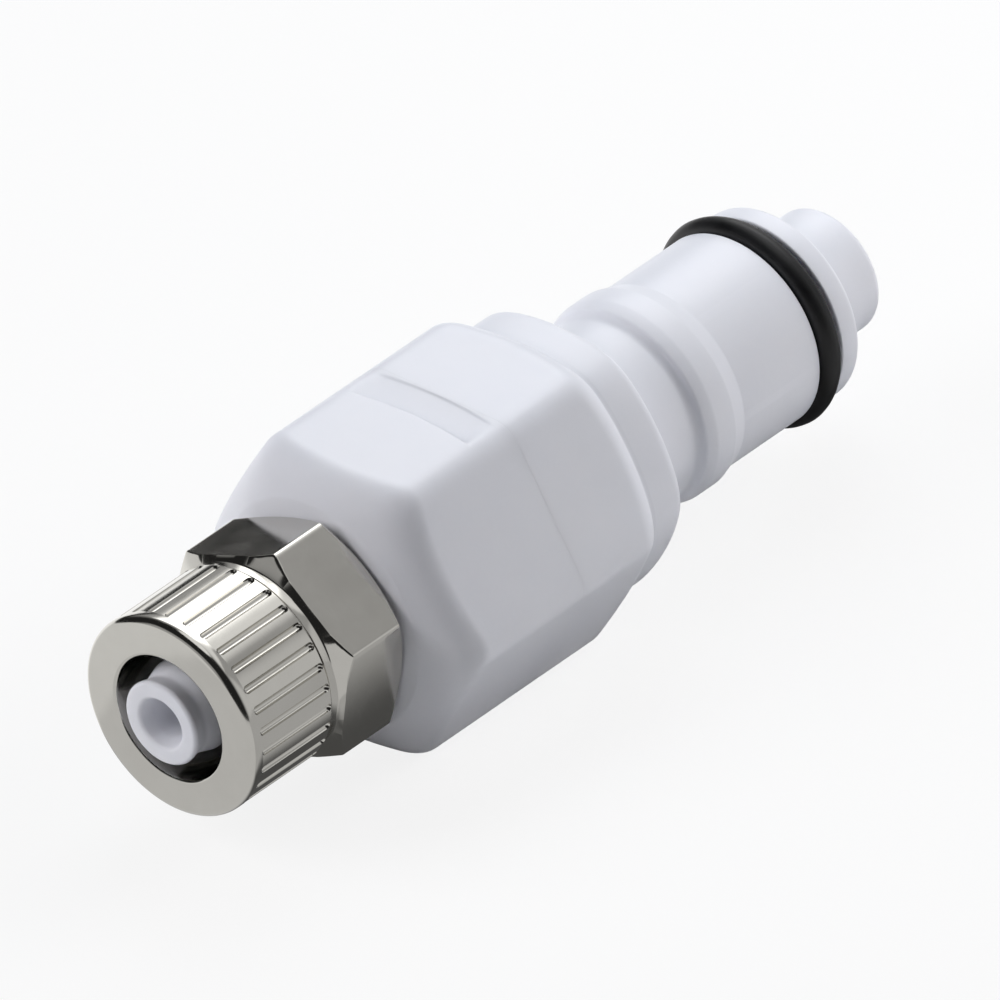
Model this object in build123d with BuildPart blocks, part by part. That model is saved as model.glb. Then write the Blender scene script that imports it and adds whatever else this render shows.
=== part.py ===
"""Insert half of a valved plastic quick disconnect coupling for 1/4 inch plastic tubing.

The coupling's axis is X, with the nose and its valve towards +X and the tube nut towards -X.
The origin is on the axis at the nose face. Lengths are in millimetres.
"""

import os
from math import radians, sqrt, tan

from build123d import *

# ---- wrench sizes ----
body_across_flats = 15.875
nut_across_flats = 11.11
body_corner_r = body_across_flats / sqrt(3)
nut_corner_r = nut_across_flats / sqrt(3)
hex_chamfer_rise = tan(radians(60))
envelope_margin = 0.25

# ---- nose of the insert, measured back from the nose face ----
nose_r = 5.40
nose_edge_rounding = 0.30
nose_groove_front_x = -1.35
nose_groove_rear_x = -3.00
nose_groove_r = 4.55
land_r = 5.38
land_rear_x = -8.80
ring_front_x = -9.80
ring_rear_x = -11.10
ring_r = 5.68
ring_shoulder_r = 5.50
neck_front_x = -12.00
neck_rear_x = -16.00
neck_r = 5.10
collar_r = 7.80
collar_rounding = 0.45

# ---- hexagonal body ----
hex_rear_corner_x = -19.30
seam_x = -25.05
hex_front_corner_x = -32.70
body_front_x = -34.60
long_edge_rounding = 0.35
relief_width = 1.95
relief_depth = 0.15

# ---- valve chamber ----
throat_r = 3.50
throat_chamfer = 0.20
throat_length = 4.60
chamber_r = 4.15
chamber_step_x = -16.90
wide_chamber_r = 5.00
guide_shoulder_x = -20.20
counterbore_r = 6.00
seat_half_angle = 30

# ---- valve poppet ----
poppet_r = 3.45
poppet_protrusion = 3.95
poppet_tip_rounding = 0.45
poppet_hollow_r = 2.10
poppet_hollow_end_x = -4.35
port_x = -3.30
port_r = 0.80
seal_groove_front_x = -4.68
seal_groove_rear_x = -6.04
seal_groove_r = 2.85
spring_flange_rear_x = -7.10
shank_r = 2.00
stem_shoulder_x = -13.70
stem_r = 1.50
stem_end_x = -20.50
valve_travel = 3.60
stop_gap = 0.10

# ---- rings ----
nose_ring_section_r = 0.66
nose_ring_x = -2.25
poppet_ring_section_r = 0.50
poppet_ring_x = -5.36

# ---- spring guide ----
guide_r = 5.97
guide_window_r = 4.60
guide_thickness = 2.00
guide_boss_r = 2.15
guide_bore_r = 1.55
guide_arm_width = 1.40
guide_arm_count = 3

# ---- valve spring ----
wire_r = 0.25
coil_r = 2.50
coil_count = 8
spring_end_clearance = 0.01

# ---- tube adapter ----
spigot_r = 5.98
adapter_chamber_r = 4.40
adapter_chamber_end_x = -28.00
nipple_bore_r = 1.25
stud_r = 4.40
stud_end_x = -40.00
stud_chamfer = 0.40
nipple_root_r = 3.00
nipple_cone_end_x = -42.00
nipple_r = 2.50
nipple_flare_x = -44.50
nipple_waist_x = -45.60
nipple_waist_r = 2.15
nipple_tip_r = 2.30
nipple_end_x = -46.60
nipple_outer_rounding = 0.35
nipple_inner_rounding = 0.25

# ---- compression nut ----
nut_face_x = -46.00
nut_hole_r = 3.45
nut_rim_r = 5.55
nut_rim_rounding = 0.45
nut_rim_x = -45.30
nut_grip_r = 5.53
nut_grip_rear_x = -40.10
nut_neck_r = 5.35
nut_hex_front_x = -39.40
nut_rear_x = -34.70
nut_cone_front_x = -43.00
nut_cone_rear_x = -41.40
nut_cone_r = 4.00
nut_thread_start_x = -41.00
nut_thread_r = 4.46
nut_hex_turn = 39.7
flute_count = 30
flute_r = 0.22
flute_centre_r = 5.53
flute_start_turn = 1.9


def turned_face(corners):
    """Face in the XZ plane from (x, radius, rounding) corners, ready to turn about the axis."""
    points = [(x, r) for x, r, rounding in corners]
    roundings = [rounding for x, r, rounding in corners]
    with BuildSketch(Plane.XZ) as section:
        with BuildLine():
            FilletPolyline(points, radius=roundings, close=True)
        make_face()
    return section.sketch


def long_edges(part):
    """The edges of a prism that run along the axis."""
    return part.edges().filter_by(Axis.X)


# ---------------------------------------------------------------- insert housing
# Rear half of the hexagon, stop collar, latch groove and nose. It holds the valve.
hex_rear_r = body_corner_r + envelope_margin
hex_rear_margin_x = hex_rear_corner_x - envelope_margin / hex_chamfer_rise
collar_front_x = hex_rear_corner_x + (body_corner_r - collar_r) / hex_chamfer_rise
seat_rear_x = -throat_length - (chamber_r - throat_r) / tan(radians(seat_half_angle))
wide_step_x = chamber_step_x - (wide_chamber_r - chamber_r)

with BuildPart() as insert_housing:
    with BuildSketch(Plane.YZ.offset(seam_x)):
        RegularPolygon(radius=body_corner_r, side_count=6)
    extrude(amount=collar_front_x - seam_x)
    fillet(long_edges(insert_housing.part), long_edge_rounding)
    revolve(
        turned_face([
            (seam_x, 0, 0),
            (seam_x, hex_rear_r, 0),
            (hex_rear_margin_x, hex_rear_r, 0),
            (collar_front_x, collar_r, 0),
            (collar_front_x, 0, 0),
        ]),
        axis=Axis.X,
        mode=Mode.INTERSECT,
    )
    revolve(
        turned_face([
            (hex_rear_corner_x, 0, 0),
            (hex_rear_corner_x, collar_r, 0),
            (neck_rear_x, collar_r, collar_rounding),
            (neck_rear_x, neck_r, 0.3),
            (neck_front_x, neck_r, 0.2),
            (neck_front_x + 0.1, ring_shoulder_r, 0.1),
            (ring_rear_x, ring_r, 0.4),
            (ring_front_x, ring_r, 0.4),
            (land_rear_x, land_r, 0.4),
            (nose_groove_rear_x, land_r, 0.1),
            (nose_groove_rear_x, nose_groove_r, 0.1),
            (nose_groove_front_x, nose_groove_r, 0.1),
            (nose_groove_front_x, nose_r, 0.1),
            (0, nose_r, nose_edge_rounding),
            (0, 0, 0),
        ]),
        axis=Axis.X,
    )
    revolve(
        turned_face([
            (0, 0, 0),
            (0, throat_r + throat_chamfer, 0),
            (-throat_chamfer, throat_r, 0),
            (-throat_length, throat_r, 0),
            (seat_rear_x, chamber_r, 0),
            (chamber_step_x, chamber_r, 0),
            (wide_step_x, wide_chamber_r, 0),
            (guide_shoulder_x, wide_chamber_r, 0),
            (guide_shoulder_x, counterbore_r, 0),
            (seam_x, counterbore_r, 0),
            (seam_x, 0, 0),
        ]),
        axis=Axis.X,
        mode=Mode.SUBTRACT,
    )

# ---------------------------------------------------------------- tube adapter
# Front half of the hexagon, threaded stud and tube nipple, with the spigot that is
# welded into the housing.
spigot_end_x = guide_shoulder_x - guide_thickness
hex_front_margin_x = hex_front_corner_x + envelope_margin / hex_chamfer_rise
body_front_r = body_corner_r - (hex_front_corner_x - body_front_x) * hex_chamfer_rise
adapter_bore_start_x = adapter_chamber_end_x - (adapter_chamber_r - nipple_bore_r)

with BuildPart() as tube_adapter:
    with BuildSketch(Plane.YZ.offset(body_front_x)):
        RegularPolygon(radius=body_corner_r, side_count=6)
    extrude(amount=seam_x - body_front_x)
    fillet(long_edges(tube_adapter.part), long_edge_rounding)
    revolve(
        turned_face([
            (seam_x, 0, 0),
            (seam_x, hex_rear_r, 0),
            (hex_front_margin_x, hex_rear_r, 0),
            (body_front_x, body_front_r, 0),
            (body_front_x, 0, 0),
        ]),
        axis=Axis.X,
        mode=Mode.INTERSECT,
    )
    # shallow relief beside the seam, on the top flat only
    with BuildSketch(Plane.XY.offset(body_across_flats / 2 - relief_depth)):
        with Locations((seam_x - relief_width / 2, 0)):
            Rectangle(relief_width, 2 * body_corner_r)
    extrude(amount=2 * relief_depth, mode=Mode.SUBTRACT)
    revolve(
        turned_face([
            (seam_x, 0, 0),
            (spigot_end_x, 0, 0),
            (spigot_end_x, spigot_r, 0.2),
            (seam_x - 1, spigot_r, 0),
            (seam_x - 1, 0, 0),
        ]),
        axis=Axis.X,
    )
    revolve(
        turned_face([
            (body_front_x + 1, 0, 0),
            (body_front_x + 1, stud_r, 0),
            (stud_end_x + stud_chamfer, stud_r, 0),
            (stud_end_x, stud_r - stud_chamfer, 0),
            (stud_end_x, nipple_root_r, 0),
            (nipple_cone_end_x, nipple_r, 0),
            (nipple_flare_x, nipple_r, 0.3),
            (nipple_waist_x, nipple_waist_r, 0.5),
            (nipple_end_x, nipple_tip_r, nipple_outer_rounding),
            (nipple_end_x, 0, 0),
        ]),
        axis=Axis.X,
    )
    revolve(
        turned_face([
            (spigot_end_x, 0, 0),
            (spigot_end_x, adapter_chamber_r, 0),
            (adapter_chamber_end_x, adapter_chamber_r, 0),
            (adapter_bore_start_x, nipple_bore_r, 0),
            (nipple_end_x + nipple_inner_rounding, nipple_bore_r, 0),
            (nipple_end_x, nipple_bore_r + nipple_inner_rounding, 0),
            (nipple_end_x, 0, 0),
        ]),
        axis=Axis.X,
        mode=Mode.SUBTRACT,
    )

# ---------------------------------------------------------------- compression nut
# Fluted brass nut with a hexagonal rear end. Its inner cone squeezes the tube on the nipple.
nut_envelope_r = nut_corner_r + envelope_margin
nut_chamfer_run = (nut_envelope_r - nut_neck_r) / hex_chamfer_rise
flute_start_x = nut_rim_x + 0.1
flute_length = nut_grip_rear_x - flute_start_x

with BuildPart() as compression_nut:
    with BuildSketch(Plane.YZ.offset(nut_hex_front_x)):
        RegularPolygon(radius=nut_corner_r, side_count=6, rotation=nut_hex_turn)
    extrude(amount=nut_rear_x - nut_hex_front_x)
    revolve(
        turned_face([
            (nut_hex_front_x, 0, 0),
            (nut_hex_front_x, nut_neck_r, 0),
            (nut_hex_front_x + nut_chamfer_run, nut_envelope_r, 0),
            (nut_rear_x - nut_chamfer_run, nut_envelope_r, 0),
            (nut_rear_x, nut_neck_r, 0),
            (nut_rear_x, 0, 0),
        ]),
        axis=Axis.X,
        mode=Mode.INTERSECT,
    )
    revolve(
        turned_face([
            (nut_face_x, 0, 0),
            (nut_face_x, nut_rim_r, nut_rim_rounding),
            (nut_rim_x, nut_rim_r, 0),
            (nut_rim_x + 0.1, nut_grip_r, 0),
            (nut_grip_rear_x, nut_grip_r, 0.1),
            (nut_grip_rear_x + 0.2, nut_neck_r, 0.1),
            (nut_hex_front_x + 1, nut_neck_r, 0),
            (nut_hex_front_x + 1, 0, 0),
        ]),
        axis=Axis.X,
    )
    with BuildSketch(Plane.YZ.offset(flute_start_x)):
        with PolarLocations(flute_centre_r, flute_count, start_angle=flute_start_turn):
            Circle(flute_r)
    extrude(amount=flute_length, mode=Mode.SUBTRACT)
    revolve(
        turned_face([
            (nut_face_x, 0, 0),
            (nut_face_x, nut_hole_r + 0.15, 0),
            (nut_face_x + 0.15, nut_hole_r, 0),
            (nut_cone_front_x, nut_hole_r, 0),
            (nut_cone_rear_x, nut_cone_r, 0),
            (nut_thread_start_x, nut_thread_r, 0),
            (nut_rear_x - 0.3, nut_thread_r, 0),
            (nut_rear_x, nut_thread_r + 0.3, 0),
            (nut_rear_x, 0, 0),
        ]),
        axis=Axis.X,
        mode=Mode.SUBTRACT,
    )

# ---------------------------------------------------------------- nose ring
nose_ring_r = nose_groove_r + nose_ring_section_r

with BuildPart() as nose_o_ring:
    with BuildSketch(Plane.XZ):
        with Locations((nose_ring_x, nose_ring_r)):
            Circle(nose_ring_section_r)
    revolve(axis=Axis.X)

# ---------------------------------------------------------------- valve poppet
# Hollow tip with cross ports ahead of the seal groove, a spring flange and a guided stem.
with BuildPart() as valve_poppet:
    revolve(
        turned_face([
            (poppet_protrusion, poppet_hollow_r, 0.2),
            (poppet_protrusion, poppet_r, poppet_tip_rounding),
            (seal_groove_front_x, poppet_r, 0),
            (seal_groove_front_x, seal_groove_r, 0),
            (seal_groove_rear_x, seal_groove_r, 0),
            (seal_groove_rear_x, poppet_r, 0.1),
            (spring_flange_rear_x, poppet_r, 0.1),
            (spring_flange_rear_x, shank_r, 0),
            (stem_shoulder_x, shank_r, 0),
            (stem_shoulder_x, stem_r, 0),
            (stem_end_x, stem_r, 0.3),
            (stem_end_x, 0, 0),
            (poppet_hollow_end_x, 0, 0),
            (poppet_hollow_end_x, poppet_hollow_r, 0.2),
        ]),
        axis=Axis.X,
    )
    for port_direction in ((0, 1, 0), (0, 0, 1)):
        with BuildSketch(Plane(origin=(port_x, 0, 0), z_dir=port_direction)):
            Circle(port_r)
        extrude(amount=2 * poppet_r, both=True, mode=Mode.SUBTRACT)

# ---------------------------------------------------------------- poppet seal
poppet_ring_r = seal_groove_r + poppet_ring_section_r

with BuildPart() as poppet_seal:
    with BuildSketch(Plane.XZ):
        with Locations((poppet_ring_x, poppet_ring_r)):
            Circle(poppet_ring_section_r)
    revolve(axis=Axis.X)

# ---------------------------------------------------------------- spring guide
# Ring clamped between the housing and the adapter, with a boss on three arms.
boss_end_x = stem_shoulder_x - valve_travel - stop_gap

with BuildPart() as spring_guide:
    with BuildSketch(Plane.YZ.offset(spigot_end_x)):
        Circle(guide_r)
        Circle(guide_window_r, mode=Mode.SUBTRACT)
        Circle(guide_boss_r)
        with PolarLocations(guide_window_r / 2, guide_arm_count, start_angle=90):
            Rectangle(guide_window_r + 0.6, guide_arm_width)
        Circle(guide_bore_r, mode=Mode.SUBTRACT)
    extrude(amount=guide_thickness)
    with BuildSketch(Plane.YZ.offset(guide_shoulder_x)):
        Circle(guide_boss_r)
        Circle(guide_bore_r, mode=Mode.SUBTRACT)
    extrude(amount=boss_end_x - guide_shoulder_x)

# ---------------------------------------------------------------- valve spring
spring_start_x = guide_shoulder_x + wire_r + spring_end_clearance
spring_length = spring_flange_rear_x - wire_r - spring_end_clearance - spring_start_x

with BuildPart() as valve_spring:
    with BuildLine() as coil:
        Helix(
            pitch=spring_length / coil_count,
            height=spring_length,
            radius=coil_r,
            center=(spring_start_x, 0, 0),
            direction=(1, 0, 0),
        )
    with BuildSketch(Plane(origin=coil.line @ 0, z_dir=coil.line % 0)):
        Circle(wire_r)
    sweep(path=coil.line, is_frenet=True)

# ---------------------------------------------------------------- export
pieces = {
    "insert_housing": insert_housing,
    "tube_adapter": tube_adapter,
    "compression_nut": compression_nut,
    "nose_o_ring": nose_o_ring,
    "valve_poppet": valve_poppet,
    "poppet_seal": poppet_seal,
    "spring_guide": spring_guide,
    "valve_spring": valve_spring,
}
os.makedirs("parts", exist_ok=True)
for label, piece in pieces.items():
    piece.part.label = label
    export_step(piece.part, f"parts/{label}.step")
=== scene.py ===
"""Looks of the insert half of a valved plastic quick disconnect coupling.

Every piece but the spring is turned about the coupling's axis, X. The origin is on the axis at the
nose face. Front is the +X side of a piece, but on the nut it is the face that the tube enters.
Lengths are in millimetres, and each mesh is scaled to the frame's metres when it is made.
Angles about the axis are in degrees from +Z towards -Y.
"""

from math import ceil, cos, pi, radians, sin, sqrt, tan

import bpy
import numpy as np
from mathutils import Matrix, Vector


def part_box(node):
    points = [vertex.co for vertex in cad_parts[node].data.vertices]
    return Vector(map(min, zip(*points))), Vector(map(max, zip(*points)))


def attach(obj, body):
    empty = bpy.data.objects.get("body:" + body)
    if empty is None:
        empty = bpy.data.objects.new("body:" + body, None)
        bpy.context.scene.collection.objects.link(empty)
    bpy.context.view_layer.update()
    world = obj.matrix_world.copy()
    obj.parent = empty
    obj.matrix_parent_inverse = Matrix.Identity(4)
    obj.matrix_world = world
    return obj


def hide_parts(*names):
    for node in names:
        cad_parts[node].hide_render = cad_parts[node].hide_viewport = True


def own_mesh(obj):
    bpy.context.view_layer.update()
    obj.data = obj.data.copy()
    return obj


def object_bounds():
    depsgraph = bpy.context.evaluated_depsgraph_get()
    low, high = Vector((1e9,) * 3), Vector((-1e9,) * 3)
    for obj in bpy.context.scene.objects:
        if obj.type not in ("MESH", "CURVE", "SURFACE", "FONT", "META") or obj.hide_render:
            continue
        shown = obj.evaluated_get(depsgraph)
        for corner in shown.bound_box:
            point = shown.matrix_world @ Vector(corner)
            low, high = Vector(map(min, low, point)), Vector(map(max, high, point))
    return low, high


MM = 0.001
AXIS_X, AXIS_Z = 0, 2

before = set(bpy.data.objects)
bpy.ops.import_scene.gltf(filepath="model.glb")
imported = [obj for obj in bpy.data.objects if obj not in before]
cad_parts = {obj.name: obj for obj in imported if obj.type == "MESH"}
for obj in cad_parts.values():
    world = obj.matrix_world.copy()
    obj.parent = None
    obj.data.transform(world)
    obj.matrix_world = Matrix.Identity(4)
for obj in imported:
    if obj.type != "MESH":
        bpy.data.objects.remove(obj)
cad_low, cad_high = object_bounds()


def span(node, axis):
    """Lowest and highest place of a CAD node along an axis, in millimetres."""
    low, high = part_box(node)
    return low[axis] / MM, high[axis] / MM


# ---------------------------------------------------------------- sizes from the frame
seam_x, nose_face_x = span("insert_housing", AXIS_X)
nipple_end_x, spigot_end_x = span("tube_adapter", AXIS_X)
nut_face_x, nut_rear_x = span("compression_nut", AXIS_X)
nose_ring_rear_x, nose_ring_front_x = span("nose_o_ring", AXIS_X)
nose_ring_outer_r = span("nose_o_ring", AXIS_Z)[1]
stem_end_x, poppet_tip_x = span("valve_poppet", AXIS_X)
poppet_r = span("valve_poppet", AXIS_Z)[1]
spring_rear_x, spring_front_x = span("valve_spring", AXIS_X)
body_apothem = span("tube_adapter", AXIS_Z)[1]
floor_z = cad_low.z

# ---------------------------------------------------------------- sizes of the mouldings
hex_slope = tan(radians(60))
body_corner_rounding = 1.70
body_crease_blend = 2.00
body_cone_swell = 0.48
body_corner_r = 2 * body_apothem / sqrt(3)
weld_line_depth = 0.004
weld_line_half_width = 0.05

nose_r = 5.40
land_r = 5.38
nose_groove_r = 4.55
nose_groove_front_x = nose_face_x - 1.35
nose_groove_rear_x = nose_face_x - 3.00
land_rear_x = nose_face_x - 8.80
ring_front_x = nose_face_x - 9.80
ring_rear_x = nose_face_x - 11.10
ring_r = 5.68
ring_shoulder_r = 5.50
neck_front_x = nose_face_x - 12.00
neck_rear_x = nose_face_x - 16.00
neck_r = 5.10
collar_r = 7.80
collar_step_depth = 0.05
collar_step_width = 0.30
ring_step_width = 0.25
row_gap = 0.10  # between a plain row of the outline and the cone beside it
hex_nose_corner_x = nose_face_x - 19.30

throat_r = 3.50
throat_chamfer = 0.20
throat_end_x = nose_face_x - 4.60
chamber_r = 4.15
chamber_step_x = nose_face_x - 16.90
wide_chamber_r = 5.00
guide_shoulder_x = spigot_end_x + 2.00
counterbore_r = 6.00

spigot_r = 5.98
relief_width = 1.95
relief_seam_depth = 0.04
relief_tube_depth = 0.30
relief_wall = 0.16
relief_bow = 0.022
relief_half_length = 4.30
relief_run_out = 1.20
relief_fine_margin = 1.00  # how far the fine rows go on past the relief
hex_tube_corner_x = seam_x - 7.65
body_tube_end_x = hex_tube_corner_x - 1.90
body_tube_end_r = body_corner_r - (hex_tube_corner_x - body_tube_end_x) * hex_slope
adapter_chamber_r = 4.40
adapter_chamber_end_x = seam_x - 2.95
stud_r = 4.40
stud_end_x = body_tube_end_x - 5.40
stud_chamfer = 0.40
nipple_root_r = 3.00
nipple_r = 2.50
nipple_waist_r = 2.15
nipple_tip_r = 2.38
nipple_bore_r = 1.25
bore_mouth_widening = 0.12
bore_mouth_depth = 0.80
nipple_cone_end_x = stud_end_x - 2.00
nipple_flare_x = stud_end_x - 4.50
nipple_waist_x = stud_end_x - 5.60

# ---------------------------------------------------------------- sizes of the nut
nut_apothem = 11.11 / 2
nut_corner_turn = 9.7
nut_corner_rounding = 0.26
nut_crease_blend = 0.12
nut_hole_r = 3.45
nut_rim_r = 5.55
nut_rim_rounding = 0.45
nut_grip_r = 5.53
nut_grip_front_x = nut_face_x + 0.80
nut_grip_rear_x = nut_face_x + 5.90
nut_grip_step_run = 0.10
nut_grip_edge_run = 0.04
nut_grip_edge_drop = 0.01
nut_neck_step_run = 0.20
nut_neck_r = 5.35
nut_hex_front_x = nut_face_x + 6.60
nut_cone_front_x = nut_face_x + 3.00
nut_cone_rear_x = nut_face_x + 4.60
nut_cone_r = 4.00
nut_thread_start_x = nut_face_x + 5.00
nut_thread_r = 4.46
nut_thread_chamfer = 0.30
nut_thread_end_x = nut_rear_x - nut_thread_chamfer
nut_hex_fillet_run = 0.30
flute_count = 30
flute_turn = 7.9
flute_r = 0.22
flute_edge_blend = 0.05

thread_pitch = 1.0
thread_depth = 0.30
thread_steps = 8
thread_crest_share = 0.10
thread_run_out = 0.60

ring_step = 1.5  # degrees between the rings of a turned mesh

# ---------------------------------------------------------------- sizes of the valve
poppet_hollow_r = 2.10
poppet_hollow_end_x = -4.35
port_x = -3.30
port_r = 0.80
seal_groove_front_x = -4.68
seal_groove_rear_x = -6.04
seal_groove_r = 2.85
spring_flange_x = -7.10
shank_r = 2.00
stem_shoulder_x = -13.70
stem_r = 1.50
spring_wire_r = 0.25
spring_coil_r = 2.50
spring_turns = 8


# ---------------------------------------------------------------- mesh helpers
def rounded(corners, degrees_per_step=12):
    """Points of an open outline through (x, r, rounding) corners, with an arc at each rounding."""
    points = []
    last = len(corners) - 1
    for number, (x, r, rounding) in enumerate(corners):
        here = Vector((x, r))
        if rounding == 0 or number in (0, last):
            points.append((x, r))
            continue
        back = (Vector(corners[number - 1][:2]) - here).normalized()
        ahead = (Vector(corners[number + 1][:2]) - here).normalized()
        opening = back.angle(ahead)
        turn = pi - opening
        reach = rounding * tan(turn / 2)
        centre = here + (back + ahead).normalized() * rounding / sin(opening / 2)
        start = here + back * reach - centre
        side = 1 if back.cross(ahead) < 0 else -1
        steps = max(2, ceil(turn / radians(degrees_per_step)))
        for step in range(steps + 1):
            points.append(tuple(centre + turned_2d(start, side * turn * step / steps)))
    return points


def turned_2d(vector, angle):
    """A flat vector turned by an angle."""
    return Vector((
        vector.x * cos(angle) - vector.y * sin(angle),
        vector.x * sin(angle) + vector.y * cos(angle),
    ))


def straight(start, end, steps):
    """Points of a straight stretch of an outline, cut into steps, both ends included."""
    shares = np.linspace(0, 1, steps + 1)
    return [(start[0] + (end[0] - start[0]) * s, start[1] + (end[1] - start[1]) * s) for s in shares]


def turn_angles(step, fine_centres=(), fine_offsets=()):
    """Angles of the rings of a turned mesh, evenly spaced, with finer ones round some places."""
    regular = np.arange(0, 360, step)
    if not len(fine_centres):
        return regular
    fine = np.add.outer(np.asarray(fine_centres), np.asarray(fine_offsets)).ravel() % 360
    distance = np.abs((regular[:, None] - fine[None, :] + 180) % 360 - 180).min(axis=1)
    # A regular ring is left out where a fine one is nearly on it.
    closest = np.diff(np.sort(fine_offsets)).min() * 0.9
    return np.unique(np.round(np.concatenate([regular[distance > closest], fine]), 4))


def turned_mesh(name, points, angles, radius_at=None, poles=False):
    """Closed mesh made by turning an outline about the axis.

    radius_at(x, r, angles) gives the radii of the ring of one outline point. With poles, the
    outline starts and ends on the axis, and otherwise it closes on itself.
    """
    turn = np.radians(angles)
    count = len(angles)
    rings = []
    vertices = []
    for x, r in points:
        radii = np.full(count, float(r)) if radius_at is None else radius_at(x, r, angles)
        if r < 1e-6:
            rings.append([len(vertices)])
            vertices.append((x * MM, 0.0, 0.0))
            continue
        rings.append(range(len(vertices), len(vertices) + count))
        ring = np.column_stack([np.full(count, x), -radii * np.sin(turn), radii * np.cos(turn)]) * MM
        vertices.extend(map(tuple, ring))
    faces = []
    pairs = list(zip(rings, rings[1:]))
    if not poles:
        pairs.append((rings[-1], rings[0]))
    for one, two in pairs:
        for i in range(count):
            j = (i + 1) % count
            if len(one) == 1:
                faces.append((one[0], two[j], two[i]))
            elif len(two) == 1:
                faces.append((one[i], one[j], two[0]))
            else:
                faces.append((one[i], one[j], two[j], two[i]))
    return mesh_piece(name, vertices, faces)


def mesh_piece(name, vertices, faces):
    """Object with a closed mesh, facing outwards."""
    mesh = bpy.data.meshes.new(name)
    mesh.from_pydata(vertices, [], faces)
    piece = bpy.data.objects.new(name, mesh)
    bpy.context.scene.collection.objects.link(piece)
    if signed_volume(mesh) < 0:
        mesh.flip_normals()
    return piece


def signed_volume(mesh):
    """Volume of a closed mesh, negative where its faces look inwards."""
    mesh.calc_loop_triangles()
    corners = np.zeros(len(mesh.vertices) * 3)
    mesh.vertices.foreach_get("co", corners)
    corners = corners.reshape(-1, 3)
    triangles = np.zeros(len(mesh.loop_triangles) * 3, dtype=np.int32)
    mesh.loop_triangles.foreach_get("vertices", triangles)
    a, b, c = corners[triangles.reshape(-1, 3)].transpose(1, 0, 2)
    return float(np.einsum("ij,ij->i", a, np.cross(b, c)).sum() / 6)


def smooth(piece, crease=35):
    """Smooth shading that keeps edges sharper than the crease angle, in degrees."""
    piece.data.shade_smooth()
    piece.data.set_sharp_from_angle(angle=radians(crease))
    weighted = piece.modifiers.new("even_shading", "WEIGHTED_NORMAL")
    weighted.keep_sharp = True


def finish_piece(piece, body, material, node):
    """Gives a piece its shading, material, body and material slot in place of a CAD node."""
    smooth(piece)
    piece.data.materials.append(material)
    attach(piece, body)
    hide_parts(node)


# ---------------------------------------------------------------- shape helpers
def hexagon_radius(angles, apothem, rounding, first_corner):
    """Radius of a round-cornered hexagon at each angle."""
    off_corner = np.abs((angles - first_corner + 30) % 60 - 30)
    corner_centre_r = (apothem - rounding) / cos(radians(30))
    flat_end = np.degrees(np.arctan((apothem - rounding) * tan(radians(30)) / apothem))
    flat = apothem / np.cos(np.radians(30 - off_corner))
    across = corner_centre_r * np.sin(np.radians(off_corner))
    arc = corner_centre_r * np.cos(np.radians(off_corner))
    arc = arc + np.sqrt(np.maximum(rounding**2 - across**2, 0))
    return np.where(off_corner < 30 - flat_end, arc, flat)


def soft_min(one, two, blend):
    """The smaller of two radii, rounded off where they come within blend of each other."""
    overlap = np.maximum(blend - np.abs(one - two), 0)
    return np.minimum(one, two) - overlap**2 / (4 * blend)


def ease(value, low, high):
    """Smooth rise from 0 at low to 1 at high."""
    share = np.clip((value - low) / (high - low), 0, 1)
    return share * share * (3 - 2 * share)


def thread_wave(x, angles, first_x, last_x):
    """Depth share of a right-hand thread, 0 at the crest and 1 at the root, eased at its ends."""
    turns = x / thread_pitch - angles / 360
    tooth = 1 - np.abs(2 * (turns % 1) - 1)
    root = ease(tooth, thread_crest_share, 1 - thread_crest_share)
    starts = ease(x, first_x, first_x + thread_run_out)
    ends = starts * (1 - ease(x, last_x - thread_run_out, last_x))
    return root * ends


def body_radius(x, r, angles):
    """Radii of the mouldings: round where the outline is low, hexagonal where it is high."""
    weld = weld_line_depth * (1 - ease(abs(x - seam_x), 0, weld_line_half_width))
    hexagon = hexagon_radius(angles, body_apothem - weld, body_corner_rounding, 30)
    return soft_min(np.full(len(angles), float(r)), hexagon, body_crease_blend)


def relief_drop(x, angles):
    """Depth of the shallow relief beside the seam, deepest at its tube end, on the top flat."""
    across = body_apothem * np.tan(np.radians(np.clip((angles + 180) % 360 - 180, -60, 60)))
    from_seam = seam_x - relief_bow * across**2 - x
    floor = relief_seam_depth + (relief_tube_depth - relief_seam_depth) * from_seam / relief_width
    seam_wall = ease(from_seam, 0, relief_wall)
    tube_wall = 1 - ease(from_seam, relief_width, relief_width + relief_wall)
    run_out = 1 - ease(np.abs(across), relief_half_length - relief_run_out, relief_half_length)
    return floor * seam_wall * tube_wall * run_out


def adapter_radius(x, r, angles):
    """Radii of the tube adapter, with the relief beside the seam and the stud's thread."""
    radii = body_radius(x, r, angles)
    if r > body_corner_r:
        least_upward = 0.5
        upward = np.cos(np.radians(angles))
        facing_up = upward > least_upward
        relief = (body_apothem - relief_drop(x, angles)) / np.maximum(upward, least_upward)
        radii = np.where(facing_up, np.minimum(radii, relief), radii)
    if r == stud_r:
        radii = radii - thread_depth * thread_wave(x, angles, stud_end_x + stud_chamfer, body_tube_end_x)
    return radii


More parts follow.
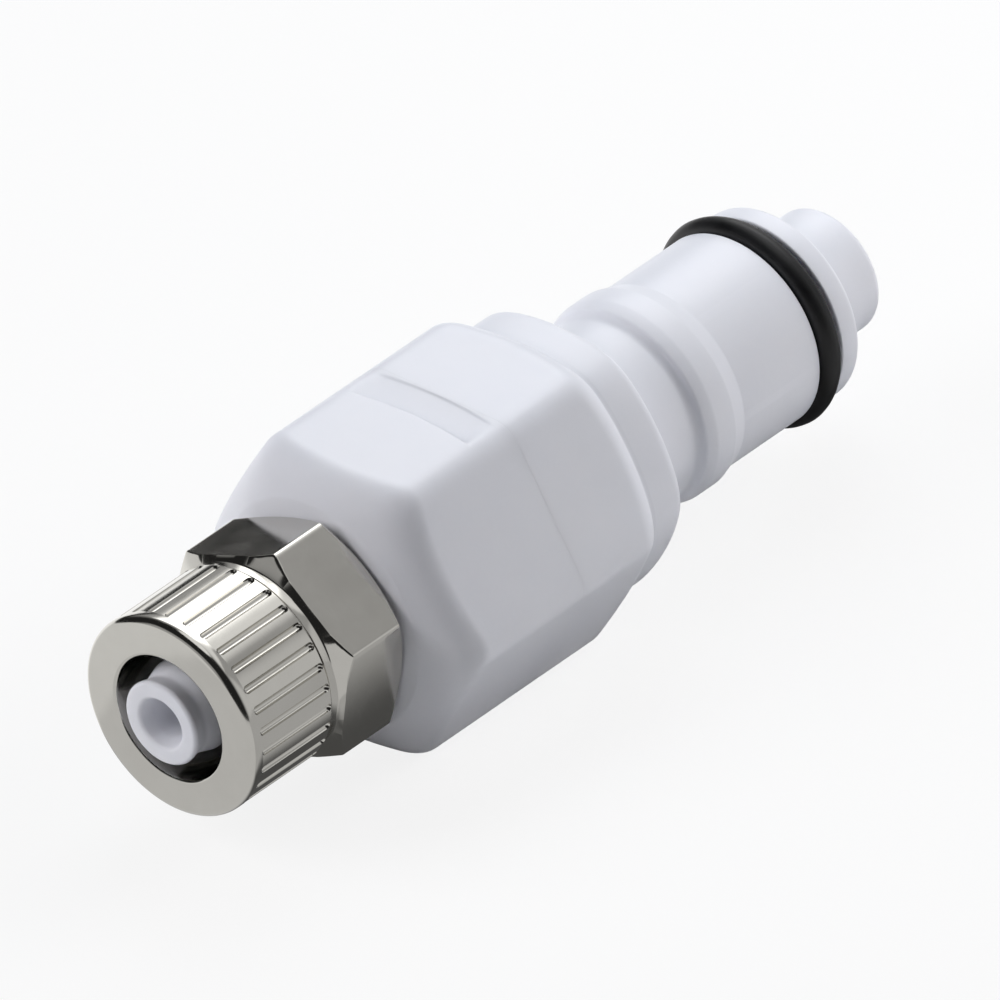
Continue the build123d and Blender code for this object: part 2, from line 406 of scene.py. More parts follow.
def nut_radius(x, r, angles):
    """Radii of the nut: hexagon, flutes and the thread inside."""
    radii = np.full(len(angles), float(r))
    if r > nut_neck_r and x > nut_hex_front_x:
        hexagon = hexagon_radius(angles, nut_apothem, nut_corner_rounding, nut_corner_turn)
        return soft_min(radii, hexagon, nut_crease_blend)
    if r == nut_grip_r:
        pitch = 360 / flute_count
        off_flute = (angles - flute_turn + pitch / 2) % pitch - pitch / 2
        across = nut_grip_r * np.radians(off_flute)
        to_end = min(x - nut_grip_front_x, nut_grip_rear_x - x)
        short_of_ball = max(flute_r - to_end, 0)
        depth = np.sqrt(np.maximum(flute_r**2 - across**2 - short_of_ball**2, 0))
        return soft_min(radii, nut_grip_r - depth, flute_edge_blend) + flute_edge_blend / 4
    if r == nut_thread_r:
        return radii + thread_depth * thread_wave(x, angles, nut_thread_start_x, nut_thread_end_x)
    return radii


# ---------------------------------------------------------------- pieces
def hex_ring_angles():
    """Ring angles of the hexagonal mouldings, finer at their six corners."""
    offsets = (-3.2, -2.2, -1.5, -1.0, -0.5, 0, 0.5, 1.0, 1.5, 2.2, 3.2)
    return turn_angles(ring_step, 30 + 60 * np.arange(6), offsets)


def housing_outline():
    """Outline of the insert housing, from the seam over the nose and back through the bore."""
    prism_r = body_corner_r + body_crease_blend
    nose_top_x = hex_nose_corner_x - body_crease_blend / hex_slope
    collar_start_x = hex_nose_corner_x + (body_corner_r - collar_r) / hex_slope
    seat_rear_x = throat_end_x - (chamber_r - throat_r) / tan(radians(30))
    hexagon = [
        (seam_x, prism_r),
        (seam_x + weld_line_half_width / 2, prism_r),
        (seam_x + weld_line_half_width, prism_r),
        (seam_x + 2 * weld_line_half_width, prism_r),
        (nose_top_x - row_gap, prism_r),
    ]
    cone_end = (collar_start_x - row_gap, collar_r + row_gap * hex_slope)
    nose_cone = straight((nose_top_x, prism_r), cone_end, steps=20)
    nose = rounded([
        (*cone_end, 0),
        (collar_start_x, collar_r - collar_step_depth, 0.15),
        (collar_start_x + collar_step_width, collar_r, 0.15),
        (neck_rear_x, collar_r, 0.60),
        (neck_rear_x, neck_r, 0.60),
        (neck_front_x, neck_r, 0.6),
        (neck_front_x + ring_step_width, ring_shoulder_r, 0.3),
        (ring_rear_x, ring_r, 0.6),
        (ring_front_x, ring_r, 0.4),
        (land_rear_x, land_r, 0.4),
        (nose_groove_rear_x, land_r, 0.12),
        (nose_groove_rear_x, nose_groove_r, 0.1),
        (nose_groove_front_x, nose_groove_r, 0.1),
        (nose_groove_front_x, nose_r, 0.12),
        (nose_face_x, nose_r, 0.30),
        (nose_face_x, throat_r + throat_chamfer, 0.05),
        (nose_face_x - throat_chamfer, throat_r, 0.05),
        (throat_end_x, throat_r, 0.1),
        (seat_rear_x, chamber_r, 0.1),
        (chamber_step_x, chamber_r, 0),
        (chamber_step_x - (wide_chamber_r - chamber_r), wide_chamber_r, 0),
        (guide_shoulder_x, wide_chamber_r, 0),
        (guide_shoulder_x, counterbore_r, 0),
        (seam_x, counterbore_r, 0),
    ])
    return hexagon + nose_cone + nose[1:]


def insert_housing(material):
    piece = turned_mesh("insert_housing_moulding", housing_outline(), hex_ring_angles(), body_radius)
    finish_piece(piece, "body", material, "insert_housing")


def adapter_outline():
    """Outline of the tube adapter, from its spigot over the hexagon, the stud and the nipple."""
    prism_r = body_corner_r + body_crease_blend
    tube_top_x = hex_tube_corner_x + (body_crease_blend - body_cone_swell) / hex_slope
    relief_end_x = seam_x - relief_width - relief_fine_margin
    bore_start_x = adapter_chamber_end_x - (adapter_chamber_r - nipple_bore_r)
    spigot = rounded([
        (spigot_end_x, adapter_chamber_r, 0),
        (spigot_end_x, spigot_r, 0.2),
        (seam_x, spigot_r, 0),
    ])
    hexagon = [
        (seam_x, prism_r),
        (seam_x - weld_line_half_width / 2, prism_r),
        (seam_x - weld_line_half_width, prism_r),
    ]
    relief = straight((seam_x - 2 * weld_line_half_width, prism_r), (relief_end_x, prism_r), steps=40)
    cone_end = (body_tube_end_x, body_tube_end_r + body_cone_swell)
    tube_cone = straight((tube_top_x, prism_r), cone_end, steps=30)
    thread_rows = round((body_tube_end_x - stud_end_x - stud_chamfer) / thread_pitch * thread_steps)
    stud = straight((body_tube_end_x, stud_r), (stud_end_x + stud_chamfer, stud_r), thread_rows)
    nipple = rounded([
        (stud_end_x, stud_r - stud_chamfer, 0),
        (stud_end_x, nipple_root_r, 0.1),
        (nipple_cone_end_x, nipple_r, 0.3),
        (nipple_flare_x, nipple_r, 0.3),
        (nipple_waist_x, nipple_waist_r, 0.6),
        (nipple_end_x, nipple_tip_r, 0.22),
        (nipple_end_x, nipple_bore_r + bore_mouth_widening, 0.25),
        (nipple_end_x + bore_mouth_depth, nipple_bore_r, 0.3),
        (bore_start_x, nipple_bore_r, 0.2),
        (adapter_chamber_end_x, adapter_chamber_r, 0.2),
        (spigot_end_x, adapter_chamber_r, 0),
    ])
    plain = [(tube_top_x + row_gap, prism_r)]
    return spigot + hexagon + relief + plain + tube_cone + stud + nipple[:-1]


def tube_adapter(material):
    piece = turned_mesh("tube_adapter_moulding", adapter_outline(), hex_ring_angles(), adapter_radius)
    finish_piece(piece, "body", material, "tube_adapter")


def nut_outline():
    """Outline of the nut, from the hole over the rim, grip and hexagon, and back by the thread."""
    prism_r = 2 * nut_apothem / sqrt(3) + nut_crease_blend
    chamfer_run = (prism_r - nut_neck_r) / hex_slope
    ball_steps = flute_r * np.array((0, 3, 7, 12, 17, 22)) / 22
    rim = rounded([
        (nut_cone_front_x, nut_hole_r, 0),
        (nut_face_x, nut_hole_r, 0.18),
        (nut_face_x, nut_rim_r, nut_rim_rounding),
        (nut_grip_front_x - nut_grip_step_run, nut_rim_r, 0),
    ], degrees_per_step=8)
    grip = [(nut_grip_front_x + step, nut_grip_r) for step in ball_steps]
    grip += [(nut_grip_rear_x - step, nut_grip_r) for step in ball_steps[::-1]]
    neck = rounded([
        (nut_grip_rear_x + nut_grip_edge_run, nut_grip_r - nut_grip_edge_drop, 0),
        (nut_grip_rear_x + nut_neck_step_run, nut_neck_r, 0.15),
        (nut_hex_front_x, nut_neck_r, 0.12),
        (nut_hex_front_x + nut_hex_fillet_run, nut_neck_r + nut_hex_fillet_run * hex_slope, 0),
    ])
    front_chamfer = straight(neck[-1], (nut_hex_front_x + chamfer_run, prism_r), steps=16)
    rear_chamfer = straight((nut_rear_x - chamfer_run, prism_r), (nut_rear_x, nut_neck_r), steps=24)
    thread_rows = round((nut_thread_end_x - nut_thread_start_x) / thread_pitch * thread_steps)
    thread = straight((nut_thread_end_x, nut_thread_r), (nut_thread_start_x, nut_thread_r), thread_rows)
    return (
        rim
        + grip
        + neck
        + front_chamfer[1:]
        + rear_chamfer
        + [(nut_rear_x, nut_thread_r + nut_thread_chamfer)]
        + thread
        + [(nut_cone_rear_x, nut_cone_r)]
    )


def compression_nut(material):
    flutes = flute_turn + 360 / flute_count * np.arange(flute_count)
    offsets = (-3.0, -2.6, -2.3, -2.05, -1.7, -1.2, -0.6, 0, 0.6, 1.2, 1.7, 2.05, 2.3, 2.6, 3.0)
    flute_rings = turn_angles(ring_step, flutes, offsets)
    corners = nut_corner_turn + 60 * np.arange(6)
    corner_rings = np.add.outer(corners, (-0.8, -0.3, 0.3, 0.8)).ravel() % 360
    angles = np.unique(np.round(np.concatenate([flute_rings, corner_rings]), 4))
    piece = turned_mesh("compression_nut_turning", nut_outline(), angles, nut_radius)
    finish_piece(piece, "nut", material, "compression_nut")


def nose_o_ring(material):
    """The nose ring, with the thin flash line that its mould leaves outside and inside."""
    section_r = (nose_ring_front_x - nose_ring_rear_x) / 2
    centre_x = (nose_ring_front_x + nose_ring_rear_x) / 2
    centre_r = nose_ring_outer_r - section_r
    flash_height = 0.012
    flash_share = 0.06
    turns = np.linspace(0, 2 * pi, 40, endpoint=False)
    section = section_r - flash_height * (1 - np.exp(-((np.sin(turns) / flash_share) ** 2)))
    points = [(centre_x + s * sin(t), centre_r + s * cos(t)) for s, t in zip(section, turns)]
    piece = turned_mesh("nose_o_ring_loop", points, turn_angles(ring_step))
    finish_piece(piece, "body", material, "nose_o_ring")


def valve_poppet(material):
    """The valve poppet, with its cross ports cut through the hollow tip."""
    points = rounded([
        (poppet_hollow_end_x, 0, 0),
        (poppet_hollow_end_x, poppet_hollow_r, 0.2),
        (poppet_tip_x, poppet_hollow_r, 0.2),
        (poppet_tip_x, poppet_r, 0.45),
        (seal_groove_front_x, poppet_r, 0.05),
        (seal_groove_front_x, seal_groove_r, 0.05),
        (seal_groove_rear_x, seal_groove_r, 0.05),
        (seal_groove_rear_x, poppet_r, 0.1),
        (spring_flange_x, poppet_r, 0.1),
        (spring_flange_x, shank_r, 0.1),
        (stem_shoulder_x, shank_r, 0.1),
        (stem_shoulder_x, stem_r, 0.1),
        (stem_end_x, stem_r, 0.3),
        (stem_end_x, 0, 0),
    ])
    piece = turned_mesh("valve_poppet_moulding", points, turn_angles(2 * ring_step), poles=True)
    for name, quarter in (("port_cutter_y", 0), ("port_cutter_z", 90)):
        cut_through(piece, port_cutter(name, quarter))
    finish_piece(piece, "valve", material, "valve_poppet")


def port_cutter(name, quarter):
    """Rod that cuts one cross port through the poppet."""
    half = 5
    points = [(-half, 0), (-half, port_r), (half, port_r), (half, 0)]
    rod = turned_mesh(name, points, turn_angles(10 * ring_step), poles=True)
    lay_across = Matrix.Rotation(radians(90), 4, "Z")
    about_axis = Matrix.Rotation(radians(quarter), 4, "X")
    rod.data.transform(Matrix.Translation((port_x * MM, 0, 0)) @ about_axis @ lay_across)
    return rod


def cut_through(piece, cutter):
    """Takes the cutter out of the piece, and leaves no cutter behind."""
    cut = piece.modifiers.new("cut", "BOOLEAN")
    cut.object = cutter
    cut.operation = "DIFFERENCE"
    cut.solver = "EXACT"
    evaluated = piece.evaluated_get(bpy.context.evaluated_depsgraph_get())
    finished = bpy.data.meshes.new_from_object(evaluated)
    piece.modifiers.remove(cut)
    piece.data = finished
    bpy.data.objects.remove(cutter)


def valve_spring(material):
    """The coil spring, one fixed coil over the CAD spring's length. The real spring shortens towards its
    fixed end as the valve opens; this mesh keeps its length.
    """
    rounds = 16
    steps_per_turn = 48
    steps = steps_per_turn * spring_turns
    length = spring_front_x - spring_rear_x - 2 * spring_wire_r
    vertices = []
    for step in range(steps + 1):
        turn = 2 * pi * spring_turns * step / steps
        out = Vector((0, cos(turn), sin(turn)))
        centre = Vector((spring_rear_x + spring_wire_r + length * step / steps, 0, 0)) + spring_coil_r * out
        for part in range(rounds):
            angle = 2 * pi * part / rounds
            place = centre + spring_wire_r * (cos(angle) * out + sin(angle) * Vector((1, 0, 0)))
            vertices.append(tuple(place * MM))
    faces = [tuple(range(rounds))]
    for step in range(steps):
        for part in range(rounds):
            a = step * rounds + part
            b = step * rounds + (part + 1) % rounds
            faces.append((a, a + rounds, b + rounds, b))
    faces.append(tuple(steps * rounds + part for part in reversed(range(rounds))))
    piece = mesh_piece("valve_spring_coil", vertices, faces)
    finish_piece(piece, "body", material, "valve_spring")
    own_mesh(piece)


# ---------------------------------------------------------------- material helpers
def node(tree, kind, **settings):
    """A new node with some of its settings."""
    made = tree.nodes.new(kind)
    for name, value in settings.items():
        setattr(made, name, value)
    return made


def math_node(tree, operation, one, two):
    """A Math node fed by links or numbers."""
    made = node(tree, "ShaderNodeMath", operation=operation)
    for socket, value in zip(made.inputs, (one, two)):
        if isinstance(value, bpy.types.NodeSocket):
            tree.links.new(value, socket)
        else:
            socket.default_value = value
    return made.outputs[0]


def stretch(tree, value, low, high):
    """A 0 to 1 value spread between low and high."""
    made = node(tree, "ShaderNodeMapRange")
    tree.links.new(value, made.inputs["Value"])
    made.inputs["To Min"].default_value = low
    made.inputs["To Max"].default_value = high
    return made.outputs["Result"]


def spread(tree, value, from_low, from_high, to_low, to_high):
    """A value between two limits, spread smoothly between two others."""
    made = node(tree, "ShaderNodeMapRange", interpolation_type="SMOOTHSTEP")
    tree.links.new(value, made.inputs["Value"])
    made.inputs["From Min"].default_value = from_low
    made.inputs["From Max"].default_value = from_high
    made.inputs["To Min"].default_value = to_low
    made.inputs["To Max"].default_value = to_high
    return made.outputs["Result"]


def effect_group(name, inputs, outputs):
    """An empty shader node group with named inputs (and their defaults) and named outputs."""
    tree = bpy.data.node_groups.new(name, "ShaderNodeTree")
    for label, kind, default in inputs:
        socket = tree.interface.new_socket(label, in_out="INPUT", socket_type=kind)
        socket.default_value = default
    for label, kind in outputs:
        tree.interface.new_socket(label, in_out="OUTPUT", socket_type=kind)
    return tree, node(tree, "NodeGroupInput"), node(tree, "NodeGroupOutput")


def placed_group(tree, group, **values):
    """A group placed in a material, with its own input values."""
    made = node(tree, "ShaderNodeGroup", node_tree=group)
    for label, value in values.items():
        made.inputs[label.replace("_", " ")].default_value = value
    return made


def noise(tree, place, scale, detail, roughness):
    """A noise value at a place, with its scale given by a link."""
    made = node(tree, "ShaderNodeTexNoise")
    tree.links.new(place, made.inputs["Vector"])
    tree.links.new(scale, made.inputs["Scale"])
    made.inputs["Detail"].default_value = detail
    made.inputs["Roughness"].default_value = roughness
    return made.outputs["Fac"]


def bumped(tree, shader, height, distance, strength):
    """Feeds a height to the shader's Normal."""
    bump = node(tree, "ShaderNodeBump")
    bump.inputs["Strength"].default_value = strength
    bump.inputs["Distance"].default_value = distance
    tree.links.new(height, bump.inputs["Height"])
    tree.links.new(bump.outputs["Normal"], shader.inputs["Normal"])


def tinted(tree, shader, share, one, two):
    """Feeds Base Color from a blend of two colours."""
    blend = node(tree, "ShaderNodeMix", data_type="RGBA")
    blend.inputs["A"].default_value = (*one, 1)
    blend.inputs["B"].default_value = (*two, 1)
    tree.links.new(share, blend.inputs["Factor"])
    tree.links.new(blend.outputs["Result"], shader.inputs["Base Color"])


def new_material(name, **settings):
    """A material with a Principled shader whose plain settings are given by name."""
    material = bpy.data.materials.new(name)
    material.use_nodes = True
    shader = material.node_tree.nodes["Principled BSDF"]
    for label, value in settings.items():
        shader.inputs[label.replace("_", " ")].default_value = value
    return material, material.node_tree, shader


# ---------------------------------------------------------------- shared effects
def moulded_skin_group():
    """Skin of a moulding: slow mottling of its shade and a fine orange peel."""
    tree, given, result = effect_group(
        "moulded_skin",
        [("Mottle Scale", "NodeSocketFloat", 180.0), ("Peel Scale", "NodeSocketFloat", 2600.0)],
        [("Mottle", "NodeSocketFloat"), ("Peel", "NodeSocketFloat")],
    )
    place = node(tree, "ShaderNodeTexCoord").outputs["Object"]
    mottle = noise(tree, place, given.outputs["Mottle Scale"], detail=4, roughness=0.55)
    peel = noise(tree, place, given.outputs["Peel Scale"], detail=2, roughness=0.5)
    tree.links.new(stretch(tree, mottle, -0.5, 1.5), result.inputs["Mottle"])
    tree.links.new(peel, result.inputs["Peel"])
    return tree


def turning_marks_group():
    """Marks of a lathe tool: rings about the axis on faces and round the sides."""
    tree, given, result = effect_group(
        "turning_marks",
        [("Ring Scale", "NodeSocketFloat", 9000.0), ("Cloud Scale", "NodeSocketFloat", 420.0)],
        [("Rings", "NodeSocketFloat"), ("Clouds", "NodeSocketFloat")],
    )
    place = node(tree, "ShaderNodeTexCoord").outputs["Object"]
    apart = node(tree, "ShaderNodeSeparateXYZ")
    tree.links.new(place, apart.inputs["Vector"])
    squares = [math_node(tree, "MULTIPLY", apart.outputs[a], apart.outputs[a]) for a in ("Y", "Z")]
    off_axis = math_node(tree, "SQRT", math_node(tree, "ADD", *squares), 0.0)
    rings_at = node(tree, "ShaderNodeCombineXYZ")
    tree.links.new(apart.outputs["X"], rings_at.inputs["X"])
    tree.links.new(off_axis, rings_at.inputs["Y"])
    rings = noise(tree, rings_at.outputs["Vector"], given.outputs["Ring Scale"], detail=2, roughness=0.6)
    clouds = noise(tree, place, given.outputs["Cloud Scale"], detail=4, roughness=0.6)
    tree.links.new(rings, result.inputs["Rings"])
    tree.links.new(stretch(tree, clouds, -0.3, 1.3), result.inputs["Clouds"])
    return tree


# ---------------------------------------------------------------- materials
def white_acetal(skin):
    """Satin white acetal that lets a little light in."""
    material, tree, shader = new_material(
        "white_acetal_moulding",
        IOR=1.48,
        Subsurface_Weight=0.2,
        Subsurface_Radius=(1.0, 0.95, 0.95),
        Subsurface_Scale=0.0008,
    )
    group = placed_group(tree, skin, Mottle_Scale=170.0, Peel_Scale=2400.0)
    tinted(tree, shader, group.outputs["Mottle"], (0.775, 0.785, 0.835), (0.815, 0.82, 0.86))
    tree.links.new(stretch(tree, group.outputs["Mottle"], 0.36, 0.46), shader.inputs["Roughness"])
    bumped(tree, shader, group.outputs["Peel"], distance=0.00001, strength=0.25)
    return material


def nickel_plate(marks):
    """Bright nickel over turned brass."""
    material, tree, shader = new_material("nickel_plated_brass", Metallic=1.0)
    group = placed_group(tree, marks, Ring_Scale=9000.0, Cloud_Scale=420.0)
    tinted(tree, shader, group.outputs["Clouds"], (0.60, 0.585, 0.545), (0.66, 0.645, 0.605))
    worn = math_node(tree, "MULTIPLY", group.outputs["Rings"], group.outputs["Clouds"])
    tree.links.new(stretch(tree, worn, 0.10, 0.22), shader.inputs["Roughness"])
    bumped(tree, shader, group.outputs["Rings"], distance=0.000002, strength=0.35)
    return material


def black_rubber(skin):
    """Black nitrile rubber with a faint bloom."""
    material, tree, shader = new_material("black_nitrile_rubber", IOR=1.5)
    group = placed_group(tree, skin, Mottle_Scale=700.0, Peel_Scale=6000.0)
    tinted(tree, shader, group.outputs["Mottle"], (0.003, 0.003, 0.0035), (0.009, 0.009, 0.010))
    tree.links.new(stretch(tree, group.outputs["Mottle"], 0.36, 0.5), shader.inputs["Roughness"])
    bumped(tree, shader, group.outputs["Peel"], distance=0.00001, strength=0.4)
    return material


def spring_steel(marks):
    """Drawn stainless wire."""
    material, tree, shader = new_material("drawn_spring_steel", Metallic=1.0)
    group = placed_group(tree, marks, Ring_Scale=3000.0, Cloud_Scale=900.0)
    tinted(tree, shader, group.outputs["Clouds"], (0.50, 0.50, 0.49), (0.62, 0.62, 0.61))
    tree.links.new(stretch(tree, group.outputs["Rings"], 0.2, 0.4), shader.inputs["Roughness"])
    bumped(tree, shader, group.outputs["Rings"], distance=0.000003, strength=0.4)
    return material


# ---------------------------------------------------------------- studio
floor_size = 3.0
floor_shade = (0.86, 0.86, 0.86)
shadow_share = 0.15
room_radius = 0.8
room_turns = 96
room_levels = 24
room_top = radians(70)
room_dark = 0.02
room_grey = 0.40
room_sky = 0.95
room_window = 0.66
room_door = 0.40
nose_side_x = (-0.12, 0.60)
grey_z = (0.12, 0.30)
sky_z = (0.66, 0.76)
window_y = (-0.70, -0.45)
door_x = (-0.75, -0.60)
door_y = (-0.30, -0.05)
door_z = (0.30, 0.42)
# Painted brightness of the table in reflections, in areas round the coupling.
table_behind = 0.80
table_beyond = 1.12
table_ahead = 0.66
table_beside = 0.50
# Painted shadow under the coupling, seen only in reflections.
painted_shadow_brightness = 0.09
painted_shadow_half_width = 0.0078
painted_shadow_fade = 0.004
painted_shadow_end_x = -0.0418
card_direction = (0.605, 0.385, 0.697)
card_distance = 0.6
card_half_length = 0.22
card_half_width = 0.33
card_brightness = 2.6
card_plain_share = 0.50


def stage_mesh(name, vertices, faces):
    """A stage object and the empty node tree of its own material."""
    mesh = bpy.data.meshes.new(name)
    mesh.from_pydata(vertices, [], faces)
    piece = bpy.data.objects.new(name, mesh)
    bpy.context.scene.collection.objects.link(piece)
    material = bpy.data.materials.new(name)
    material.use_nodes = True
    material.node_tree.nodes.clear()
    mesh.materials.append(material)
    return piece, material.node_tree


def mixed_shader(tree, share, one, two):
    """A blend of two shaders."""
    made = node(tree, "ShaderNodeMixShader")
    tree.links.new(share, made.inputs["Fac"])
    tree.links.new(one, made.inputs[1])
    tree.links.new(two, made.inputs[2])
    return made.outputs[0]


def studio_floor():
    """White table under the coupling, clear from below, that keeps a pale shadow.

    Reflections see a painted brightness of their own: a painted shadow under the coupling, and paler
    painted areas round it.
    """
    half = floor_size / 2
    corners = [(-half, -half), (half, -half), (half, half), (-half, half)]
    _, tree = stage_mesh("white_table", [(x, y, floor_z) for x, y in corners], [(0, 1, 2, 3)])
    lit = node(tree, "ShaderNodeBsdfDiffuse")
    lit.inputs["Color"].default_value = (*floor_shade, 1)
    white = node(tree, "ShaderNodeEmission")
    clear = node(tree, "ShaderNodeBsdfTransparent")
    path = node(tree, "ShaderNodeLightPath")
    side = node(tree, "ShaderNodeNewGeometry")
    apart = node(tree, "ShaderNodeSeparateXYZ")
    tree.links.new(node(tree, "ShaderNodeTexCoord").outputs["Object"], apart.inputs["Vector"])
    along, across = apart.outputs["X"], apart.outputs["Y"]
    # Painted reflection of the table: a painted shadow under the coupling, with paler areas round it.
    nut_start_x = painted_shadow_end_x - painted_shadow_fade
    past_nut = spread(tree, along, nut_start_x - painted_shadow_fade, nut_start_x, table_behind, table_beyond)
    clear_of_painted_shadow = spread(tree, across, painted_shadow_half_width, painted_shadow_half_width + painted_shadow_fade, 0, 1)
    behind = math_node(tree, "MULTIPLY", past_nut, clear_of_painted_shadow)
    beside = spread(tree, across, -painted_shadow_half_width - painted_shadow_fade, -painted_shadow_half_width, table_beside, painted_shadow_brightness)
    ahead = spread(tree, along, nut_start_x, painted_shadow_end_x, table_ahead, painted_shadow_brightness)
    mirrored = math_node(tree, "MAXIMUM", ahead, math_node(tree, "MAXIMUM", behind, beside))
    table = node(tree, "ShaderNodeEmission")
    tree.links.new(mirrored, table.inputs["Strength"])
    seen_white = math_node(tree, "MULTIPLY", path.outputs["Is Camera Ray"], 1 - shadow_share)
    above = mixed_shader(tree, seen_white, lit.outputs[0], white.outputs[0])
    # Reflections see the painted brightness in place of the lit table.
    above = mixed_shader(tree, path.outputs["Is Glossy Ray"], above, table.outputs[0])
    surface = mixed_shader(tree, side.outputs["Backfacing"], above, clear.outputs[0])
    out = node(tree, "ShaderNodeOutputMaterial")
    tree.links.new(surface, out.inputs["Surface"])


def only_mirrored(piece):
    """Hides a stage object from everything but reflections."""
    for seen_by in ("visible_camera", "visible_diffuse", "visible_shadow", "visible_transmission"):
        setattr(piece, seen_by, False)


def studio_room():
    """The room that the metal mirrors, dark on the tube side and grey on the nose side.

    A sky, a window and a door are its brighter patches, placed on a dome of radius 1 that is then
    scaled to the room. It is open at the top, and only reflections see it.
    """
    vertices = []
    for level in range(room_levels + 1):
        height = room_top * level / room_levels
        for turn in range(room_turns):
            around = 2 * pi * turn / room_turns
            vertices.append((cos(height) * cos(around), cos(height) * sin(around), sin(height)))
    faces = []
    for level in range(room_levels):
        for turn in range(room_turns):
            a = level * room_turns + turn
            b = level * room_turns + (turn + 1) % room_turns
            faces.append((a, b, b + room_turns, a + room_turns))
    room, tree = stage_mesh("studio_room", vertices, faces)
    room.scale = (room_radius, room_radius, room_radius)
    apart = node(tree, "ShaderNodeSeparateXYZ")
    tree.links.new(node(tree, "ShaderNodeTexCoord").outputs["Object"], apart.inputs["Vector"])
    x, y, z = (apart.outputs[axis] for axis in "XYZ")
    nose_side = spread(tree, x, *nose_side_x, 0, 1)
    grey = math_node(tree, "MULTIPLY", spread(tree, z, *grey_z, 0, room_grey), nose_side)
    sky = math_node(tree, "MULTIPLY", spread(tree, z, *sky_z, 0, room_sky), nose_side)
    window = math_node(tree, "MULTIPLY", spread(tree, y, *window_y, room_window, 0), nose_side)
    door = math_node(tree, "MULTIPLY", spread(tree, x, *door_x, 1, 0), spread(tree, z, *door_z, 1, 0))
    door = math_node(tree, "MULTIPLY", door, spread(tree, y, *door_y, 0, room_door))
    brightest = math_node(tree, "MAXIMUM", math_node(tree, "MAXIMUM", grey, sky), window)
    brightest = math_node(tree, "MAXIMUM", brightest, door)
    glow = node(tree, "ShaderNodeEmission")
    tree.links.new(math_node(tree, "MAXIMUM", brightest, room_dark), glow.inputs["Strength"])
    out = node(tree, "ShaderNodeOutputMaterial")
    tree.links.new(glow.outputs[0], out.inputs["Surface"])
    only_mirrored(room)


def light_card():
    """Large white card over the tube nut, which gives the metal its broad highlight."""
    corners = [(-1, -1, 0), (1, -1, 0), (1, 1, 0), (-1, 1, 0)]
    card, tree = stage_mesh("light_card", corners, [(0, 1, 2, 3)])
    facing = Vector(card_direction).normalized()
    along = (Vector((1, 0, 0)) - facing.x * facing).normalized()
    across = facing.cross(along)
    card.matrix_world = Matrix.Translation(facing * card_distance) @ Matrix((
        (along.x * card_half_length, across.x * card_half_width, facing.x, 0),
        (along.y * card_half_length, across.y * card_half_width, facing.y, 0),
        (along.z * card_half_length, across.z * card_half_width, facing.z, 0),
        (0, 0, 0, 1),
    ))
    apart = node(tree, "ShaderNodeSeparateXYZ")
    tree.links.new(node(tree, "ShaderNodeTexCoord").outputs["Object"], apart.inputs["Vector"])
    from_middle = [math_node(tree, "ABSOLUTE", apart.outputs[axis], 0.0) for axis in "XY"]
    share = spread(tree, math_node(tree, "MAXIMUM", *from_middle), card_plain_share, 1, 1, 0)
    glow = node(tree, "ShaderNodeEmission")
    glow.inputs["Strength"].default_value = card_brightness
    clear = node(tree, "ShaderNodeBsdfTransparent")
    out = node(tree, "ShaderNodeOutputMaterial")
    tree.links.new(mixed_shader(tree, share, clear.outputs[0], glow.outputs[0]), out.inputs["Surface"])
    only_mirrored(card)


def studio_world():
    """White where it is seen or mirrored, and no light of its own on the coupling."""
    world = bpy.data.worlds.new("studio")
    bpy.context.scene.world = world
    world.use_nodes = True
    tree = world.node_tree
    tree.nodes.clear()
    path = node(tree, "ShaderNodeLightPath")
    seen = math_node(tree, "MAXIMUM", path.outputs["Is Camera Ray"], path.outputs["Is Glossy Ray"])
    seen = math_node(tree, "MAXIMUM", seen, path.outputs["Is Transmission Ray"])
    dark = node(tree, "ShaderNodeBackground")
    dark.inputs["Strength"].default_value = 0
    white = node(tree, "ShaderNodeBackground")
    white.inputs["Color"].default_value = (1, 1, 1, 1)
    surface = mixed_shader(tree, seen, dark.outputs[0], white.outputs[0])
    out = node(tree, "ShaderNodeOutputWorld")
    tree.links.new(surface, out.inputs["Surface"])


def softbox(name, direction, distance, size, brightness, tint):
    """A square area lamp that looks at the coupling from a direction, and that metal does not mirror.

    Its energy goes with its area, so brightness is how bright its face is, whatever the size.
    """
    lamp = bpy.data.lights.new(name, "AREA")
    lamp.shape = "SQUARE"
    lamp.size = size
    lamp.color = tint
    lamp.energy = brightness * pi * size * size
    holder = bpy.data.objects.new(name, lamp)
    turned = Vector(direction).to_track_quat("Z", "Y").to_matrix().to_4x4()
    holder.matrix_world = Matrix.Translation(Vector(direction).normalized() * distance) @ turned
    holder.visible_camera = False
    holder.visible_glossy = False
    bpy.context.scene.collection.objects.link(holder)


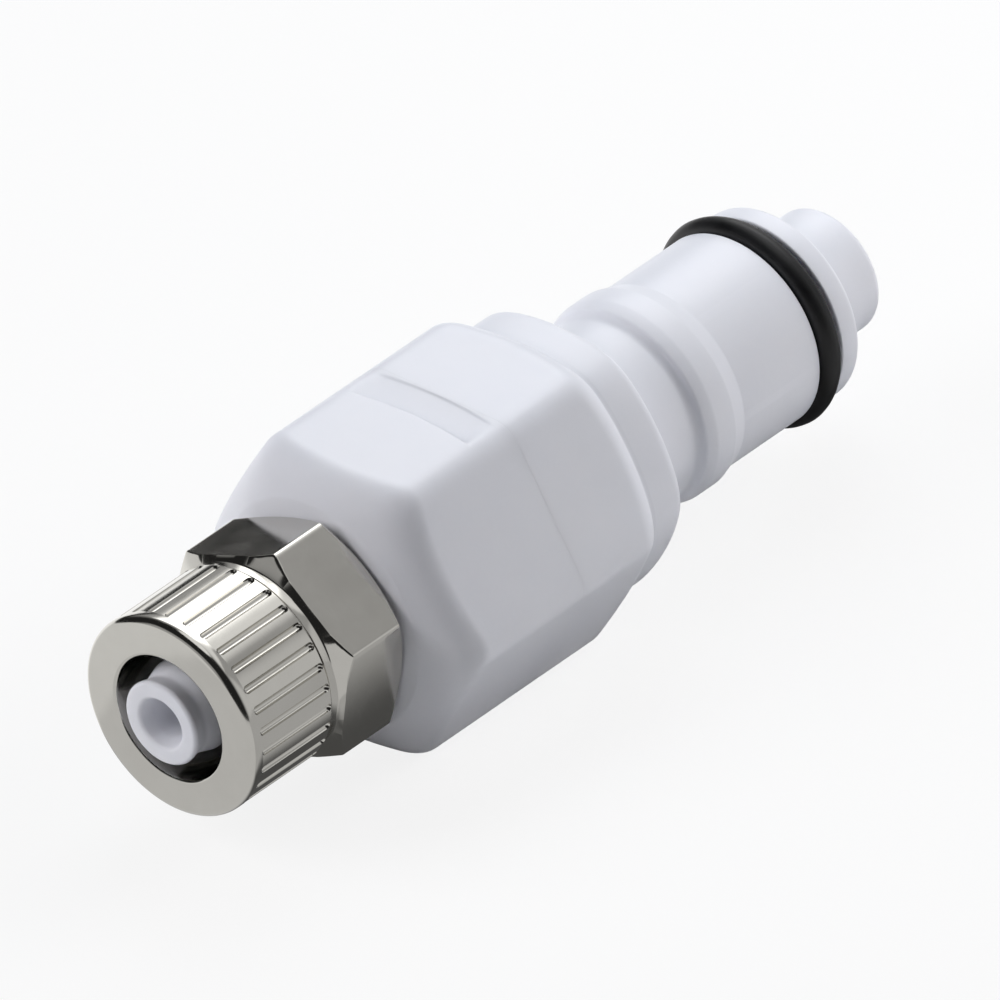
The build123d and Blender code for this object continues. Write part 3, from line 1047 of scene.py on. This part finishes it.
def studio_camera():
    """Long lens that looks down at the coupling from the tube end."""
    toward = Vector((-0.6046, -0.5662, 0.5602)).normalized()
    right = Vector((0.6578, -0.7516, -0.0497))
    right = (right - right.dot(toward) * toward).normalized()
    up = toward.cross(right)
    look_at = Vector((-0.02140, -0.000222, -0.000224))
    lens_mm = 1500
    sensor_mm = 36
    view_width = 0.04963
    lens_data = bpy.data.cameras.new("studio_camera")
    lens_data.lens = lens_mm
    lens_data.sensor_width = sensor_mm
    lens_data.clip_start = 0.01
    lens_data.clip_end = 20
    camera = bpy.data.objects.new("studio_camera", lens_data)
    camera.matrix_world = Matrix.Translation(look_at + toward * view_width * lens_mm / sensor_mm) @ Matrix((
        (right.x, up.x, toward.x, 0),
        (right.y, up.y, toward.y, 0),
        (right.z, up.z, toward.z, 0),
        (0, 0, 0, 1),
    ))
    bpy.context.scene.collection.objects.link(camera)
    bpy.context.scene.camera = camera


# ---------------------------------------------------------------- assembly
skin = moulded_skin_group()
marks = turning_marks_group()
acetal = white_acetal(skin)
nickel = nickel_plate(marks)
rubber = black_rubber(skin)
steel = spring_steel(marks)

insert_housing(acetal)
tube_adapter(acetal)
compression_nut(nickel)
nose_o_ring(rubber)
valve_poppet(acetal)
valve_spring(steel)

for name, material in (("poppet_seal", rubber), ("spring_guide", acetal)):
    hidden_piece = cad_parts[name]
    hidden_piece.data.materials.clear()
    hidden_piece.data.materials.append(material)

studio_floor()
studio_room()
light_card()
studio_world()
softboxes = (
    # name, direction, distance, size, brightness, tint
    ("key_softbox", (0.50, 0.63, 0.60), 0.5, 0.34, 0.70, (0.88, 0.93, 1.0)),
    ("tube_end_softbox", (-0.70, 0.50, 0.50), 0.5, 0.30, 5.3, (0.99, 0.98, 1.0)),
    ("nose_side_softbox", (0.14, -0.10, 0.10), 0.2, 0.12, 5.8, (1.0, 0.99, 1.0)),
    ("nose_top_softbox", (0.06, 0.06, 0.16), 0.18, 0.12, 3.15, (0.88, 0.94, 1.0)),
    ("nose_low_softbox", (0.06, -0.10, 0.08), 0.13, 0.08, 0.40, (1.0, 0.98, 1.0)),
    ("nipple_softbox", (-0.90, -0.30, 0.25), 0.075, 0.02, 0.6, (1.0, 0.97, 0.97)),
)
for lamp_settings in softboxes:
    softbox(*lamp_settings)
studio_camera()
bpy.context.scene.view_settings.view_transform = "Standard"
